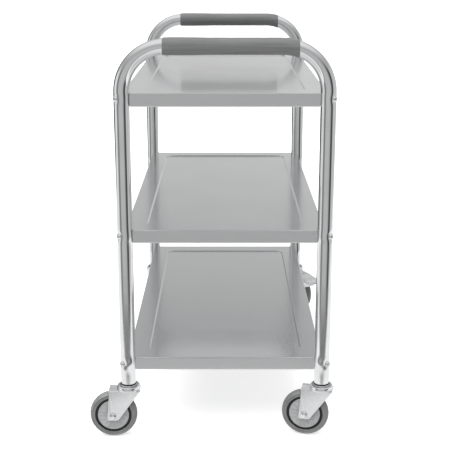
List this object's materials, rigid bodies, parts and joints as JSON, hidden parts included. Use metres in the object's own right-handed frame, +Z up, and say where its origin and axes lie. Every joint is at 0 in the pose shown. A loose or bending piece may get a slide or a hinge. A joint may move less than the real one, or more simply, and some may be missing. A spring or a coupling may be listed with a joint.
{
  "type": "food service trolley",
  "caption": "Food service trolley with pressed steel shelves bolted between two tube hoops with padded handles, on swivel casters with foot brakes at one end.",
  "frame": {"origin": "on the floor under the middle of the trolley: halfway between the four legs in plan, at the height where the wheels touch the floor", "axes": "+Z up; +Y along the length, from the hoop with the unbraked casters (front) to the hoop with the braked casters (rear); +X across the width, to the right of someone facing along +Y"},
  "size_m": [0.5736, 0.8588, 0.856],
  "materials": {
    "hoop_tube": "bright polished stainless steel tube",
    "shelf_sheet": "satin stainless steel sheet with a fine lengthwise grain",
    "caster_zinc": "bright zinc plated pressed steel",
    "zinc_fastener": "zinc plated steel",
    "bearing_steel": "polished bearing steel",
    "grip_foam": "matt grey closed-cell foam sleeve",
    "leg_bush": "black moulded plastic",
    "brake_pin": "black coated pin",
    "wheel_hub": "grey moulded plastic",
    "wheel_tyre": "grey non-marking rubber"
  },
  "bodies": {
    "frame": {"front_hoop": "hoop_tube", "rear_hoop": "hoop_tube", "front_grip": "grip_foam", "rear_grip": "grip_foam", "bottom_shelf": "shelf_sheet", "bottom_shelf_bolt_front_left": "zinc_fastener", "bottom_shelf_bolt_front_right": "zinc_fastener", "bottom_shelf_bolt_rear_left": "zinc_fastener", "bottom_shelf_bolt_rear_right": "zinc_fastener", "middle_shelf": "shelf_sheet", "middle_shelf_bolt_front_left": "zinc_fastener", "middle_shelf_bolt_front_right": "zinc_fastener", "middle_shelf_bolt_rear_left": "zinc_fastener", "middle_shelf_bolt_rear_right": "zinc_fastener", "top_shelf": "shelf_sheet", "top_shelf_bolt_front_left": "zinc_fastener", "top_shelf_bolt_front_right": "zinc_fastener", "top_shelf_bolt_rear_left": "zinc_fastener", "top_shelf_bolt_rear_right": "zinc_fastener", "front_left_leg_bush": "leg_bush", "front_left_swivel_stem": "zinc_fastener", "front_right_leg_bush": "leg_bush", "front_right_swivel_stem": "zinc_fastener", "rear_left_leg_bush": "leg_bush", "rear_left_swivel_stem": "zinc_fastener", "rear_right_leg_bush": "leg_bush", "rear_right_swivel_stem": "zinc_fastener"},
    "front_left_caster": {"front_left_race_cup": "caster_zinc", "front_left_ball_race": "bearing_steel", "front_left_fork": "caster_zinc", "front_left_axle_bolt": "zinc_fastener", "front_left_axle_nut": "zinc_fastener"},
    "front_left_wheel": {"front_left_hub": "wheel_hub", "front_left_tyre": "wheel_tyre"},
    "front_right_caster": {"front_right_race_cup": "caster_zinc", "front_right_ball_race": "bearing_steel", "front_right_fork": "caster_zinc", "front_right_axle_bolt": "zinc_fastener", "front_right_axle_nut": "zinc_fastener"},
    "front_right_wheel": {"front_right_hub": "wheel_hub", "front_right_tyre": "wheel_tyre"},
    "rear_left_caster": {"rear_left_race_cup": "caster_zinc", "rear_left_ball_race": "bearing_steel", "rear_left_fork": "caster_zinc", "rear_left_axle_bolt": "zinc_fastener", "rear_left_axle_nut": "zinc_fastener", "rear_left_brake_pin": "brake_pin"},
    "rear_left_wheel": {"rear_left_hub": "wheel_hub", "rear_left_tyre": "wheel_tyre"},
    "rear_left_brake": {"rear_left_brake_pedal": "caster_zinc"},
    "rear_right_caster": {"rear_right_race_cup": "caster_zinc", "rear_right_ball_race": "bearing_steel", "rear_right_fork": "caster_zinc", "rear_right_axle_bolt": "zinc_fastener", "rear_right_axle_nut": "zinc_fastener", "rear_right_brake_pin": "brake_pin"},
    "rear_right_wheel": {"rear_right_hub": "wheel_hub", "rear_right_tyre": "wheel_tyre"},
    "rear_right_brake": {"rear_right_brake_pedal": "caster_zinc"}
  },
  "joints": [
    {"name": "front_left_swivel", "type": "hinge", "parent": "frame", "child": "front_left_caster", "pos_m": [-0.2065, -0.402, 0.114], "axis": [0, 0, 1], "continuous": true},
    {"name": "front_left_wheel_spin", "type": "hinge", "parent": "front_left_caster", "child": "front_left_wheel", "pos_m": [-0.24, -0.402, 0.051], "axis": [0, -1, 0], "continuous": true},
    {"name": "front_right_swivel", "type": "hinge", "parent": "frame", "child": "front_right_caster", "pos_m": [0.2065, -0.402, 0.114], "axis": [0, 0, 1], "continuous": true},
    {"name": "front_right_wheel_spin", "type": "hinge", "parent": "front_right_caster", "child": "front_right_wheel", "pos_m": [0.17386, -0.39446, 0.051], "axis": [-0.225, -0.9744, 0], "continuous": true},
    {"name": "rear_left_swivel", "type": "hinge", "parent": "frame", "child": "rear_left_caster", "pos_m": [-0.2065, 0.402, 0.114], "axis": [0, 0, 1], "continuous": true},
    {"name": "rear_left_wheel_spin", "type": "hinge", "parent": "rear_left_caster", "child": "rear_left_wheel", "pos_m": [-0.19234, 0.37164, 0.051], "axis": [0.9063, 0.4226, 0], "continuous": true},
    {"name": "rear_left_brake_pivot", "type": "hinge", "parent": "rear_left_caster", "child": "rear_left_brake", "pos_m": [-0.17692, 0.33856, 0.0915], "axis": [0.9063, 0.4226, 0], "range_deg": [0, 7]},
    {"name": "rear_right_swivel", "type": "hinge", "parent": "frame", "child": "rear_right_caster", "pos_m": [0.2065, 0.402, 0.114], "axis": [0, 0, 1], "continuous": true},
    {"name": "rear_right_wheel_spin", "type": "hinge", "parent": "rear_right_caster", "child": "rear_right_wheel", "pos_m": [0.22066, 0.37164, 0.051], "axis": [0.9063, 0.4226, 0], "continuous": true},
    {"name": "rear_right_brake_pivot", "type": "hinge", "parent": "rear_right_caster", "child": "rear_right_brake", "pos_m": [0.23608, 0.33856, 0.0915], "axis": [0.9063, 0.4226, 0], "range_deg": [0, 7]}
  ]
}
